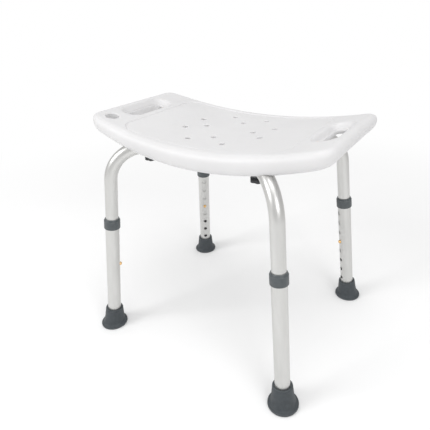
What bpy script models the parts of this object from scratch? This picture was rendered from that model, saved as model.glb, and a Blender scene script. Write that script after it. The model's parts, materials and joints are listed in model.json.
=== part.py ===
"""Height-adjustable shower stool: blow-moulded seat on two crossed tube frames with four telescopic legs.

Metres, +Z up, +X along the seat's length, -Y is the front. The origin is on the floor under the seat.
Each leg hangs on an empty whose Z runs up the leg from the floor and whose X faces the leg's row of holes.
Each hand knob and its bolt hang on an empty on the bolt's axis.
"""

import math

import bmesh
import bpy
from mathutils import Matrix, Vector

# ---- Seat -------------------------------------------------------------------
SEAT_HALF_LENGTH = 0.255
SEAT_HALF_WIDTH = 0.1487  # at mid length
SEAT_TAPER = 0.138  # share of the half width lost at the ends
SEAT_CORNER_R = 0.028
SEAT_MID_Z = 0.4361  # top surface over the origin
SEAT_CURVE = 0.541  # top height = SEAT_MID_Z + SEAT_CURVE * x * x
EDGE_DEPTH = 0.038  # depth of the rim at mid length
EDGE_DEPTH_LOSS = 0.0085  # how much shallower it is at the ends
PANEL_DEPTH = 0.0165  # thickness inside the rim
RIM_WIDEST = 0.44  # how far down its depth the rim is widest
RIM_TOP_INSET = 0.015  # the rim rounds over this far in from its widest, above
RIM_UNDER_INSET = 0.012  # and this far below
RIM_STEPS = 3  # facets in each of the two rounds
RIM_FOOT_INSET = 0.028  # inner edge of the rim's underside
RIM_FOOT_R = 0.016
RIM_ROOT_INSET = 0.034  # where the rim's inner wall meets the panel
RIM_ROOT_R = 0.012
SKIN = 0.0025  # moulded wall
GROOVE_HALF = (0.1755, 0.1250)
GROOVE_R = 0.032
GROOVE_TAPER = 0.07
GROOVE_DEPTH = 0.0012
GROOVE_HALF_WIDTH = 0.0022
PANEL_STEPS = (0.12, 0.45, 0.78)  # inner rings of the panel, as shares of the groove's outline
DRAIN_R = 0.0055
DRAIN_OUTER = ((0.0840, 0.0315), (0.0380, 0.0846))  # one quadrant, mirrored
DRAIN_END_X = 0.0534
DRAIN_SIDE_Y = 0.0545
HANDHOLD_X = 0.2115
HANDHOLD_HALF = (0.024, 0.064)  # dished recess, across and along
HANDHOLD_DEPTH = 0.009
SLOT_HALF = (0.0125, 0.047)  # opening through the recess
SLOT_R = 0.0115
HOLDER_XY = (-0.2165, -0.0975)  # hand-shower holder in the front-left corner
HOLDER_R = 0.0135
SCOOP_R = 0.022  # finger scoop under each end
SCOOP_HALF = 0.076
SCOOP_OUT = 0.0135  # its axis lies this far beyond the seat's end
SCOOP_DROP = 0.034  # and this far below the end's top surface
VENT_XY = (0.072, 0.0)
VENT_R = 0.003

# ---- Frame and legs ---------------------------------------------------------
DIAGONAL = math.radians(40.3)  # direction of each frame tube in plan, from X
FLOOR_REACH = 0.2791  # leg axis to centre, at floor level
LEG_TILT = math.atan(0.1132)
TOP_Z = 0.412  # centre line of the frame tube under the seat
BEND_R = 0.070
BEND_STEPS = 6
FRAME_R = 0.0127
FRAME_WALL = 0.0012
FRAME_SIDES = 14
FRAME_END = 0.117  # bottom end of the frame tube, along the leg
STRAIGHT_TOP = 0.235  # top of the straight stretch, along the leg
CHANNEL_GAP = 0.0004  # seat's clearance round the frame tube
LEG_R = 0.0140
LEG_BORE = 0.0131
LEG_SIDES = 20
LEG_BOTTOM = 0.0085
LEG_TOP = 0.2620
HOLE_R = 0.0042
HOLE_PITCH = 0.025
HOLE_TURN = 0.1  # keeps the holes' facets off the tube's facets
BUTTON_AT = 0.1552  # fourth hole from the top
HOLES_ABOVE, HOLES_BELOW = 3, 4
BUTTON_AZIMUTH = math.radians(49.7)  # the holes face inwards, in plan, from X
BUTTON_R = 0.0038
FLAT_HALF_H = 0.0055  # tube squashed at the crossing
FLAT_HALF_W = 0.0164
FLAT_BOXINESS = 0.62  # exponent of the squashed section, 1 is an ellipse
FLAT_FROM, FLAT_TO = 0.0425, 0.0220  # reach over which a tube goes from round to flat
CROSS_UPPER_Z = 0.4167
CROSS_LOWER_Z = 0.4043
POCKET_R = 0.0430  # room for the crossing under the seat
POCKET_TOP = 0.4256
BOLT_REACH = 0.155  # seat bolts, from the centre along each diagonal

# ---- Fittings ---------------------------------------------------------------
GAP = 0.0003
BOLT_R = 0.0029
BOLT_HOLE_R = 0.0034
BOLT_HEAD_R = 0.0055
BOLT_BOTTOM, BOLT_TOP = 0.3866, 0.4367
HEAD_TOP = 0.3908
INSERT_R = 0.0058
INSERT_BOTTOM, INSERT_TOP = 0.4253, 0.4368
KNOB_R = 0.0140
KNOB_BOTTOM, KNOB_TOP = 0.3862, 0.3962
KNOB_LOBES = 6
KNOB_WAIST = 0.17  # share of the radius lost between two lobes
SADDLE_HALF = (0.0085, 0.0095)
SADDLE_BOTTOM, SADDLE_TOP = 0.3965, 0.4035
COLLAR_R = 0.0163
COLLAR_BOTTOM, COLLAR_TOP = 0.2450, 0.2673
FOOT_R = 0.0283
SLEEVE_TOP = 0.0425
FOOT_SIDES = 20
SPRING_HALF_W = 0.0033
SPRING_THICKNESS = 0.0007

CORNERS = {
    "front_left": (-1, -1),
    "front_right": (1, -1),
    "back_right": (1, 1),
    "back_left": (-1, 1),
}

# ---- Colours: (rgb, metallic, roughness) ------------------------------------
WHITE_PLASTIC = ((0.86, 0.86, 0.85), 0.0, 0.35)
ALUMINIUM = ((0.70, 0.71, 0.72), 1.0, 0.35)
STEEL = ((0.62, 0.63, 0.64), 1.0, 0.30)
SPRING_STEEL = ((0.55, 0.56, 0.58), 1.0, 0.30)
BRASS = ((0.72, 0.52, 0.22), 1.0, 0.35)
BUTTON_BRASS = ((0.80, 0.50, 0.22), 1.0, 0.30)
GREY_PLASTIC = ((0.110, 0.130, 0.140), 0.0, 0.45)
BLACK_PLASTIC = ((0.02, 0.02, 0.022), 0.0, 0.45)
TRIM_PLASTIC = ((0.05, 0.05, 0.055), 0.0, 0.50)
GREY_RUBBER = ((0.075, 0.090, 0.100), 0.0, 0.60)

for old in list(bpy.data.objects):
    bpy.data.objects.remove(old, do_unlink=True)

parts = bpy.data.collections.new("shower_stool")
helpers = bpy.data.collections.new("cutters")
for group in (parts, helpers):
    bpy.context.scene.collection.children.link(group)


# ---- Objects ----------------------------------------------------------------
def material(name, look):
    rgb, metallic, roughness = look
    mat = bpy.data.materials.new(name)
    mat.use_nodes = True
    shader = mat.node_tree.nodes["Principled BSDF"]
    shader.inputs["Base Color"].default_value = (*rgb, 1)
    shader.inputs["Metallic"].default_value = metallic
    shader.inputs["Roughness"].default_value = roughness
    return mat


def axis_empty(name, frame):
    """An empty that other objects hang on."""
    empty = bpy.data.objects.new(name, None)
    empty.matrix_world = frame
    helpers.objects.link(empty)
    return empty


def add_part(obj, look, parent=None, place=None):
    obj.data.materials.append(material(obj.name, look))
    parts.objects.link(obj)
    obj.parent = parent
    obj.matrix_local = place or Matrix.Identity(4)
    return obj


def add_cutter(obj, parent=None, place=None):
    obj.hide_render = True
    obj.display_type = "WIRE"
    helpers.objects.link(obj)
    obj.parent = parent
    obj.matrix_local = place or Matrix.Identity(4)
    return obj


def boolean(obj, other, operation="DIFFERENCE"):
    mod = obj.modifiers.new(other.name, "BOOLEAN")
    mod.operation = operation
    mod.solver = "EXACT"
    mod.object = other


def finish_mesh(name, bm):
    mesh = bpy.data.meshes.new(name)
    bm.to_mesh(mesh)
    bm.free()
    mesh.shade_smooth()
    mesh.set_sharp_from_angle(angle=math.radians(35))
    return mesh


# ---- Shapes -----------------------------------------------------------------
def turned(name, profile, steps, loop=False, turn=0.0):
    """(r, z) points turned about local Z, top to bottom down the outer side. loop closes a ring's section."""
    count = len(profile)
    edges = [(i, i + 1) for i in range(count - 1)]
    if loop:
        edges.append((count - 1, 0))
    points = [(r * math.cos(turn), r * math.sin(turn), z) for r, z in profile]
    mesh = bpy.data.meshes.new(name)
    mesh.from_pydata(points, edges, [])
    obj = bpy.data.objects.new(name, mesh)
    screw = obj.modifiers.new("turn", "SCREW")
    screw.steps = steps
    screw.render_steps = steps
    screw.use_merge_vertices = True
    screw.merge_threshold = 0.00001
    screw.use_smooth_shade = True
    return obj


def cylinders(name, places, radius, length, sides):
    """Plain cylinders, each centred on a placement matrix and lying along its Z."""
    bm = bmesh.new()
    for place in places:
        bmesh.ops.create_cone(
            bm, cap_ends=True, segments=sides, radius1=radius, radius2=radius, depth=length, matrix=place
        )
    return bpy.data.objects.new(name, finish_mesh(name, bm))


def upright(x, y, bottom, top):
    """Placement of a vertical cylinder's middle."""
    return Matrix.Translation((x, y, (bottom + top) / 2))


def rounded_boxes(name, places, half, radius, bottom, top, segments=4):
    """Boxes with rounded upright edges, each standing in a placement matrix."""
    bm = bmesh.new()
    for place in places:
        size = Matrix.Diagonal((2 * half[0], 2 * half[1], top - bottom, 1))
        box = bmesh.ops.create_cube(bm, size=1, matrix=Matrix.Translation((0, 0, (top + bottom) / 2)) @ size)
        upright_edges = [
            e for e in {e for v in box["verts"] for e in v.link_edges}
            if (e.verts[0].co - e.verts[1].co).xy.length < 1e-6
        ]
        made = bmesh.ops.bevel(
            bm, geom=upright_edges, offset=radius, segments=segments, profile=0.5, affect="EDGES"
        )
        corners = {v for f in made["faces"] for v in f.verts}
        bmesh.ops.transform(bm, matrix=place, verts=list(corners))
    return bpy.data.objects.new(name, finish_mesh(name, bm))


def loft(name, rings, caps):
    """Skins rings of equal count. caps: 'ends' closes both ends, 'loop' joins the last ring to the first."""
    bm = bmesh.new()
    rows = [[bm.verts.new(p) for p in ring] for ring in rings]
    n = len(rings[0])
    pairs = list(zip(rows, rows[1:]))
    if caps == "loop":
        pairs.append((rows[-1], rows[0]))
    for a, b in pairs:
        for i in range(n):
            j = (i + 1) % n
            bm.faces.new((a[i], a[j], b[j], b[i]))
    if caps == "ends":
        for row in (rows[0], rows[-1]):
            centre = bm.verts.new(sum((v.co for v in row), Vector()) / n)
            for i in range(n):
                bm.faces.new((row[i], row[(i + 1) % n], centre))
    bmesh.ops.recalc_face_normals(bm, faces=bm.faces)
    if bm.calc_volume(signed=True) < 0:
        bmesh.ops.reverse_faces(bm, faces=bm.faces)
    return bpy.data.objects.new(name, finish_mesh(name, bm))


def tubes(name, routes, radius, resolution):
    """Solid round bars along lists of points, made from one bevelled curve and turned into a mesh."""
    curve = bpy.data.curves.new(name, "CURVE")
    curve.dimensions = "3D"
    curve.bevel_depth = radius
    curve.bevel_resolution = resolution
    curve.use_fill_caps = True
    for route in routes:
        spline = curve.splines.new("POLY")
        spline.points.add(len(route) - 1)
        for point, place in zip(spline.points, route):
            point.co = (*place, 1)
    source = bpy.data.objects.new(name + "_route", curve)
    helpers.objects.link(source)
    graph = bpy.context.evaluated_depsgraph_get()
    mesh = bpy.data.meshes.new_from_object(source.evaluated_get(graph))
    bm = bmesh.new()
    bm.from_mesh(mesh)
    bmesh.ops.remove_doubles(bm, verts=bm.verts, dist=0.00001)
    bm.to_mesh(mesh)
    bm.free()
    obj = bpy.data.objects.new(name, mesh)
    obj.matrix_world = source.matrix_world
    bpy.data.objects.remove(source)
    return obj


def blend(a, b, t):
    return a + (b - a) * t


def smooth(t):
    t = min(max(t, 0.0), 1.0)
    return t * t * (3 - 2 * t)


def circle(r, z, n, turn=0.0):
    angles = [turn + math.tau * i / n for i in range(n)]
    return [Vector((r * math.cos(a), r * math.sin(a), z)) for a in angles]


# ---- Placement of the legs and bolts ----------------------------------------
def outward(sx, sy):
    return Vector((sx * math.cos(DIAGONAL), sy * math.sin(DIAGONAL), 0))


def leg_frame(sx, sy):
    """Z up the leg, X towards the hole row, origin where the leg's axis meets the floor."""
    up = Vector((0, 0, math.cos(LEG_TILT))) - outward(sx, sy) * math.sin(LEG_TILT)
    face = Vector((-sx * math.cos(BUTTON_AZIMUTH), -sy * math.sin(BUTTON_AZIMUTH), 0))
    face = (face - up * face.dot(up)).normalized()
    frame = Matrix.Identity(4)
    for column, axis in enumerate((face, up.cross(face), up)):
        frame.col[column][:3] = axis
    frame.col[3][:3] = outward(sx, sy) * FLOOR_REACH
    return frame


def bolt_xy(sx, sy):
    return (outward(sx, sy) * BOLT_REACH).xy


def bolt_frame(sx, sy):
    """Z up the bolt, X out along the frame tube."""
    azimuth = math.atan2(sy * math.sin(DIAGONAL), sx * math.cos(DIAGONAL))
    return Matrix.Translation((*bolt_xy(sx, sy), 0)) @ Matrix.Rotation(azimuth, 4, "Z")


SIDEWAYS = Matrix.Rotation(math.pi / 2, 4, "Y")  # turns an upright piece along local X


def half_path(cross_z):
    """Centre line from the tube's bottom end to the middle: (reach, z, tangent angle, squash)."""
    upright_angle = math.pi / 2 + LEG_TILT
    top_of_leg = TOP_Z - BEND_R * (1 - math.sin(LEG_TILT))
    bend_x = FLOOR_REACH - math.tan(LEG_TILT) * top_of_leg - BEND_R * math.cos(LEG_TILT)
    out = []
    for t in (FRAME_END, STRAIGHT_TOP):
        out.append((FLOOR_REACH - t * math.sin(LEG_TILT), t * math.cos(LEG_TILT), upright_angle, 0.0))
    for i in range(BEND_STEPS + 1):
        a = blend(upright_angle, math.pi, i / BEND_STEPS)
        out.append((bend_x + BEND_R * math.sin(a), TOP_Z - BEND_R - BEND_R * math.cos(a), a, 0.0))
    for share in (0.0, 0.25, 0.5, 0.75, 1.0):
        t = smooth(share)
        out.append((blend(FLAT_FROM, FLAT_TO, share), blend(TOP_Z, cross_z, t), math.pi, t))
    out.append((0.0, cross_z, math.pi, 1.0))
    return out


def tube_rings(sx, sy, cross_z, wall=0.0):
    """Sections of a frame tube from corner (sx, sy) to the opposite one, its surface moved in by wall."""
    half = half_path(cross_z)
    whole = half + [(-reach, z, math.tau - a, t) for reach, z, a, t in reversed(half[:-1])]
    along = outward(sx, sy)
    side = Vector((-along.y, along.x, 0))
    rings = []
    for reach, z, a, squash in whole:
        normal = along * math.sin(a) + Vector((0, 0, -math.cos(a)))
        centre = along * reach + Vector((0, 0, z))
        half_w = blend(FRAME_R, FLAT_HALF_W, squash) - wall
        half_h = blend(FRAME_R, FLAT_HALF_H, squash) - wall
        power = blend(1.0, FLAT_BOXINESS, squash)
        ring = []
        for p in circle(1.0, 0.0, FRAME_SIDES, math.pi / FRAME_SIDES):
            w = math.copysign(abs(p.x) ** power, p.x) * half_w
            h = math.copysign(abs(p.y) ** power, p.y) * half_h
            ring.append(centre + side * w + normal * h)
        rings.append(ring)
    return rings


def channel_routes(stop):
    """Where the frame runs under the seat: four routes that end short of the centre."""
    routes = []
    for signs in CORNERS.values():
        points = [(reach, z) for reach, z, _, _ in half_path(TOP_Z) if reach > FLAT_FROM][1:]
        points.append((stop, TOP_Z))
        routes.append([outward(*signs) * reach + Vector((0, 0, z)) for reach, z in points])
    return routes


# ---- Seat -------------------------------------------------------------------
def top_z(x):
    return SEAT_MID_Z + SEAT_CURVE * x * x


def rim_depth(x):
    return EDGE_DEPTH - EDGE_DEPTH_LOSS * (x / SEAT_HALF_LENGTH) ** 2


def rim_profile():
    """Two quarter rounds from the top surface to the underside: (inset from the outline, share of the depth)."""
    angles = [math.pi / 2 * i / RIM_STEPS for i in range(RIM_STEPS + 1)]
    over = [(RIM_TOP_INSET * (1 - math.sin(a)), RIM_WIDEST * (1 - math.cos(a))) for a in angles]
    under = [(RIM_UNDER_INSET * (1 - math.cos(a)), blend(RIM_WIDEST, 1.0, math.sin(a))) for a in angles]
    return over + under[1:]


def outline(a, b, r, taper, counts):
    """Rounded rectangle whose long sides draw in towards the ends, anticlockwise from the right end."""
    corner, long_side, short_side = counts
    pts = []

    def arc(cx, cy, start):
        for i in range(corner):
            t = start + math.pi / 2 * i / corner
            pts.append((cx + r * math.cos(t), cy + r * math.sin(t)))

    def line(p, q, steps):
        for i in range(steps):
            pts.append((blend(p[0], q[0], i / steps), blend(p[1], q[1], i / steps)))

    line((a, -(b - r)), (a, b - r), short_side)
    arc(a - r, b - r, 0)
    line((a - r, b), (-(a - r), b), long_side)
    arc(-(a - r), b - r, math.pi / 2)
    line((-a, b - r), (-a, -(b - r)), short_side)
    arc(-(a - r), -(b - r), math.pi)
    line((-(a - r), -b), (a - r, -b), long_side)
    arc(a - r, -(b - r), 1.5 * math.pi)
    return [(x, y * (1 - taper * (x / SEAT_HALF_LENGTH) ** 2)) for x, y in pts]


def seat_rings(skin, counts):
    """Sections over the seat's top, round its rim and under it. skin moves every surface inwards."""
    rings = []
    groove_x, groove_y = GROOVE_HALF

    def level(a, b, r, taper, drop):
        rings.append([Vector((x, y, top_z(x) - skin - drop)) for x, y in outline(a, b, r, taper, counts)])

    def panel(share, drop):
        level(groove_x * share, groove_y * share, GROOVE_R * share, GROOVE_TAPER, drop)

    def edge(inset, share, r):
        """share is how far down the rim, from 0 at the top surface to 1 at its underside."""
        pts = outline(SEAT_HALF_LENGTH - inset, SEAT_HALF_WIDTH - inset, r, SEAT_TAPER, counts)
        rings.append([Vector((x, y, top_z(x) - skin - share * (rim_depth(x) - 2 * skin))) for x, y in pts])

    for share in PANEL_STEPS:
        panel(share, 0.0)
    steps = (0.0,) if skin else (-GROOVE_HALF_WIDTH, 0.0, GROOVE_HALF_WIDTH)
    for step in steps:
        depth = 0.0 if step else GROOVE_DEPTH
        level(groove_x + step, groove_y + step, GROOVE_R + step, GROOVE_TAPER, depth)
    for inset, share in rim_profile():
        edge(inset + skin, share, SEAT_CORNER_R - inset - skin)
    edge(RIM_FOOT_INSET - skin, 1.0, RIM_FOOT_R)
    root = RIM_ROOT_INSET - skin
    under = PANEL_DEPTH - 2 * skin
    level(SEAT_HALF_LENGTH - root, SEAT_HALF_WIDTH - root, RIM_ROOT_R, SEAT_TAPER, under)
    for share in reversed(PANEL_STEPS):
        panel(share, under)
    return rings


def hole_frame(x, y):
    """Z along the top surface's normal at (x, y)."""
    tilt = math.atan(2 * SEAT_CURVE * x)
    return Matrix.Translation((x, y, top_z(x))) @ Matrix.Rotation(-tilt, 4, "Y")


def drain_places():
    quadrant = [(sx * x, sy * y) for x, y in DRAIN_OUTER for sx in (1, -1) for sy in (1, -1)]
    ends = [(s * DRAIN_END_X, 0) for s in (1, -1)]
    sides = [(0, s * DRAIN_SIDE_Y) for s in (1, -1)]
    return quadrant + ends + sides


def handhold_frames():
    return [hole_frame(s * HANDHOLD_X, 0) for s in (1, -1)]


def dish(name, levels, frame):
    """Skins rounded rectangles (half_x, half_y, r, z), placed with frame."""
    rings = []
    for half_x, half_y, r, z in levels:
        ring = []
        for k, (cx, cy) in enumerate(((1, 1), (-1, 1), (-1, -1), (1, -1))):
            for i in range(5):
                t = math.pi / 2 * (k + i / 4)
                ring.append((cx * (half_x - r) + r * math.cos(t), cy * (half_y - r) + r * math.sin(t), z))
        rings.append([frame @ Vector(p) for p in ring])
    return loft(name, rings, "ends")


def scoop(name, side, grow):
    """Cutter for the finger scoop under one end: a spindle lying along Y."""
    r = SCOOP_R + grow
    half = [(0.0, -SCOOP_HALF - 0.6 * r), (0.6 * r, -SCOOP_HALF - 0.4 * r), (r, -SCOOP_HALF + 0.004)]
    profile = [(p, -q) for p, q in half] + half[::-1]
    middle = (side * (SEAT_HALF_LENGTH + SCOOP_OUT), 0, top_z(SEAT_HALF_LENGTH) - SCOOP_DROP)
    lying = Matrix.Translation(middle) @ Matrix.Rotation(math.pi / 2, 4, "X")
    return add_cutter(turned(name, profile, 20), place=lying)


def build_hollow():
    """The space between the seat's skins, kept away from everything that passes through the seat."""
    hollow = add_cutter(loft("seat_hollow", seat_rings(SKIN, (3, 8, 4)), "ends"))
    pillars = {
        "hollow_drains": (drain_places(), DRAIN_R + SKIN, 8),
        "hollow_bolts": ([bolt_xy(*signs) for signs in CORNERS.values()], 0.0095, 8),
        "hollow_holder": ([HOLDER_XY], HOLDER_R + SKIN, 10),
    }
    for name, (spots, radius, sides) in pillars.items():
        places = [upright(x, y, 0.39, 0.49) for x, y in spots]
        boolean(hollow, add_cutter(cylinders(name, places, radius, 0.10, sides)))
    half_x, half_y = HANDHOLD_HALF
    slot_x, slot_y = (half + SKIN for half in SLOT_HALF)
    for i, frame in enumerate(handhold_frames()):
        levels = (
            (slot_x, slot_y, 0.0140, -0.045),
            (slot_x, slot_y, 0.0140, -HANDHOLD_DEPTH - 0.0041),
            (half_x - 0.0038, half_y - 0.0038, 0.0180, -HANDHOLD_DEPTH - SKIN),
            (half_x + SKIN, half_y + SKIN, 0.0230, 0.002),
        )
        boolean(hollow, add_cutter(dish(f"hollow_handhold_{i}", levels, frame)))
    channel_r = FRAME_R + CHANNEL_GAP + SKIN
    boolean(hollow, add_cutter(tubes("hollow_channels", channel_routes(0.0390), channel_r, 3)))
    top = POCKET_TOP + SKIN
    room = cylinders("hollow_centre", [upright(0, 0, 0.39, top)], POCKET_R + 0.0032, top - 0.39, 24)
    boolean(hollow, add_cutter(room))
    for side in (1, -1):
        boolean(hollow, scoop(f"hollow_scoop_{side + 1}", side, SKIN))
    return hollow


def build_seat():
    seat = add_part(loft("seat", seat_rings(0.0, (5, 10, 3)), "ends"), WHITE_PLASTIC)
    boolean(seat, build_hollow())

    drains = [hole_frame(x, y) for x, y in drain_places()]
    boolean(seat, add_cutter(cylinders("seat_drains", drains, DRAIN_R, 0.060, 10)))
    boolean(seat, add_cutter(cylinders("seat_holder", [hole_frame(*HOLDER_XY)], HOLDER_R, 0.090, 18)))
    vent = [upright(*VENT_XY, 0.40, 0.43)]
    boolean(seat, add_cutter(cylinders("seat_vent", vent, VENT_R, 0.03, 8)))

    half_x, half_y = HANDHOLD_HALF
    for i, frame in enumerate(handhold_frames()):
        levels = (
            (half_x - 0.0075, half_y - 0.0075, 0.0160, -HANDHOLD_DEPTH),
            (half_x - 0.0035, half_y - 0.0035, 0.0195, -HANDHOLD_DEPTH + 0.0020),
            (half_x - 0.0008, half_y - 0.0008, 0.0218, -0.0016),
            (half_x + 0.0018, half_y + 0.0018, 0.0240, 0.0005),
            (half_x + 0.0018, half_y + 0.0018, 0.0240, 0.010),
        )
        boolean(seat, add_cutter(dish(f"seat_dish_{i}", levels, frame)))
    slots = rounded_boxes("seat_slots", handhold_frames(), SLOT_HALF, SLOT_R, -0.045, -0.004)
    boolean(seat, add_cutter(slots))

    boolean(seat, add_cutter(tubes("seat_channels", channel_routes(0.0370), FRAME_R + CHANNEL_GAP, 5)))
    room = [upright(0, 0, 0.39, POCKET_TOP)]
    boolean(seat, add_cutter(cylinders("seat_centre", room, POCKET_R, POCKET_TOP - 0.39, 28)))
    top = INSERT_TOP + 0.0004
    sockets = [upright(*bolt_xy(*signs), 0.41, top) for signs in CORNERS.values()]
    boolean(seat, add_cutter(cylinders("seat_sockets", sockets, INSERT_R + GAP, top - 0.41, 16)))
    for side in (1, -1):
        boolean(seat, scoop(f"seat_scoop_{side + 1}", side, 0.0))


# ---- Frame ------------------------------------------------------------------
def build_frame_tube(name, signs, cross_z):
    """One bent tube, squashed in the middle, drilled for its buttons, its seat bolts and the rivet."""
    outer = tube_rings(*signs, cross_z)
    inner = tube_rings(*signs, cross_z, FRAME_WALL)
    tube = add_part(loft(name, outer + inner[::-1], "loop"), ALUMINIUM)
    ends = (signs, (-signs[0], -signs[1]))
    at_button = Matrix.Translation((0, 0, BUTTON_AT)) @ SIDEWAYS @ Matrix.Translation((0, 0, 0.012))
    buttons = [leg_frame(*end) @ at_button for end in ends]
    boolean(tube, add_cutter(cylinders(name + "_button_holes", buttons, HOLE_R, 0.012, 10)))
    bolts = [upright(*bolt_xy(*end), 0.39, 0.43) for end in ends] + [upright(0, 0, 0.39, 0.43)]
    boolean(tube, add_cutter(cylinders(name + "_bolt_holes", bolts, BOLT_HOLE_R, 0.04, 10)))


def build_crossing():
    rivet = (
        (0.0, 0.4243), (0.0058, 0.4243), (0.0065, 0.4225), (0.0030, 0.4225),
        (0.0030, 0.3985), (0.0065, 0.3985), (0.0065, 0.3966), (0.0, 0.3966),
    )
    add_part(turned("crossing_rivet", rivet, 12), STEEL)
    washer = ((0.0100, 0.4109), (0.0100, 0.4101), (0.0034, 0.4101), (0.0034, 0.4109))
    add_part(turned("crossing_spacer", washer, 12, loop=True), TRIM_PLASTIC)


def knob_rings():
    """Six rounded grips below, a plain boss above, and the bore with its pocket for the bolt's head."""
    n = 24

    def lobed(r, z):
        ring = []
        for p in circle(1.0, z, n):
            lobe = 1 - KNOB_WAIST / 2 * (1 - math.cos(KNOB_LOBES * math.atan2(p.y, p.x)))
            ring.append(Vector((p.x * r * lobe, p.y * r * lobe, z)))
        return ring

    head_room = BOLT_HEAD_R + 0.0005
    return [
        lobed(KNOB_R - 0.0012, KNOB_BOTTOM), lobed(KNOB_R, KNOB_BOTTOM + 0.0012),
        lobed(KNOB_R, KNOB_TOP - 0.0035),
        circle(0.0098, KNOB_TOP - 0.0018, n), circle(0.0092, KNOB_TOP, n),
        circle(BOLT_R + GAP, KNOB_TOP, n), circle(BOLT_R + GAP, HEAD_TOP + 0.0005, n),
        circle(head_room, HEAD_TOP + 0.0005, n), circle(head_room, KNOB_BOTTOM, n),
    ]


def build_seat_bolt(corner, signs):
    """Threaded insert, bolt, saddle washer and lobed hand knob at one corner."""
    axis = axis_empty("bolt_axis_" + corner, bolt_frame(*signs))

    insert = (
        (INSERT_R, INSERT_TOP), (INSERT_R, INSERT_BOTTOM),
        (BOLT_R + 0.0004, INSERT_BOTTOM), (BOLT_R + 0.0004, INSERT_TOP),
    )
    add_part(turned("seat_insert_" + corner, insert, 12, loop=True), BRASS, axis)

    shank = ((0.0, BOLT_TOP), (0.0022, BOLT_TOP), (BOLT_R, BOLT_TOP - 0.0005), (BOLT_R, HEAD_TOP - 0.0003))
    bolt = add_part(turned("seat_bolt_" + corner, shank + ((0.0, HEAD_TOP - 0.0003),), 10), STEEL, axis)
    head_middle = [upright(0, 0, BOLT_BOTTOM, HEAD_TOP)]
    head = cylinders("bolt_head_" + corner, head_middle, BOLT_HEAD_R, HEAD_TOP - BOLT_BOTTOM, 6)
    boolean(bolt, add_cutter(head, axis), "UNION")

    add_part(loft("hand_knob_" + corner, knob_rings(), "loop"), BLACK_PLASTIC, axis)

    block = rounded_boxes(
        "saddle_washer_" + corner, [Matrix.Identity(4)], SADDLE_HALF, 0.004, SADDLE_BOTTOM, SADDLE_TOP, 2
    )
    saddle = add_part(block, TRIM_PLASTIC, axis)
    lying = [Matrix.Translation((0, 0, TOP_Z)) @ SIDEWAYS]
    boolean(saddle, add_cutter(cylinders("saddle_tube_" + corner, lying, FRAME_R + GAP, 0.04, 24), axis))
    bore = [upright(0, 0, 0.39, 0.406)]
    boolean(saddle, add_cutter(cylinders("saddle_bore_" + corner, bore, BOLT_HOLE_R, 0.016, 10), axis))


# ---- Telescopic leg ---------------------------------------------------------
def build_lower_leg(corner, axis):
    """Outer tube with its row of holes."""
    wall = ((LEG_R, LEG_TOP), (LEG_R, LEG_BOTTOM), (LEG_BORE, LEG_BOTTOM), (LEG_BORE, LEG_TOP))
    tube = turned("lower_leg_" + corner, wall, LEG_SIDES, loop=True, turn=math.pi / LEG_SIDES)
    leg = add_part(tube, ALUMINIUM, axis)
    row = []
    for k in range(-HOLES_BELOW, HOLES_ABOVE + 1):
        at = Matrix.Translation((0.013, 0, BUTTON_AT + k * HOLE_PITCH))
        row.append(at @ SIDEWAYS @ Matrix.Rotation(HOLE_TURN, 4, "Z"))
    boolean(leg, add_cutter(cylinders("leg_holes_" + corner, row, HOLE_R, 0.010, 10), axis))


def build_collar(corner, axis):
    """Plastic collar: grips the outer tube and guides the inner one."""
    section = (
        (0.0139, COLLAR_TOP), (0.0156, COLLAR_TOP - 0.0034), (COLLAR_R, COLLAR_TOP - 0.0044),
        (COLLAR_R, COLLAR_BOTTOM + 0.0009), (0.0159, COLLAR_BOTTOM), (LEG_R + GAP, COLLAR_BOTTOM),
        (LEG_R + GAP, LEG_TOP + GAP), (LEG_BORE, LEG_TOP + GAP), (LEG_BORE, COLLAR_TOP),
    )
    collar = turned("collar_" + corner, section, LEG_SIDES, loop=True, turn=math.pi / LEG_SIDES)
    add_part(collar, GREY_PLASTIC, axis)


def build_foot(corner, axis, frame):
    """Rubber foot: its flange lies flat on the floor and its sleeve follows the leg."""
    to_leg = frame.inverted()
    floor_point = frame.translation

    def ring(r, z, lean):
        """lean 0: level, over the floor point; lean 1: square to the leg."""
        turn = math.pi / FOOT_SIDES
        azimuth = math.atan2(frame[1][0], frame[0][0])
        level = [to_leg @ (floor_point + p) for p in circle(r, z, FOOT_SIDES, turn + azimuth)]
        square = circle(r, z, FOOT_SIDES, turn)
        return [a.lerp(b, lean) for a, b in zip(level, square)]

    socket = LEG_R + GAP
    rings = [
        ring(FOOT_R - 0.0015, 0.0, 0), ring(FOOT_R, 0.0014, 0), ring(FOOT_R, 0.0050, 0),
        ring(FOOT_R - 0.0015, 0.0068, 0), ring(0.0235, 0.0092, 0.2), ring(0.0217, 0.0136, 0.5),
        ring(0.0208, 0.0190, 1), ring(0.0184, SLEEVE_TOP - 0.0008, 1), ring(0.0176, SLEEVE_TOP, 1),
        ring(socket, SLEEVE_TOP, 1), ring(socket, 0.0064, 1),
    ]
    add_part(loft("rubber_foot_" + corner, rings, "ends"), GREY_RUBBER, axis)
    disc = ((0.0, 0.0082), (0.0125, 0.0082), (0.0125, 0.0067), (0.0, 0.0067))
    add_part(turned("foot_disc_" + corner, disc, 12), STEEL, axis)


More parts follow.
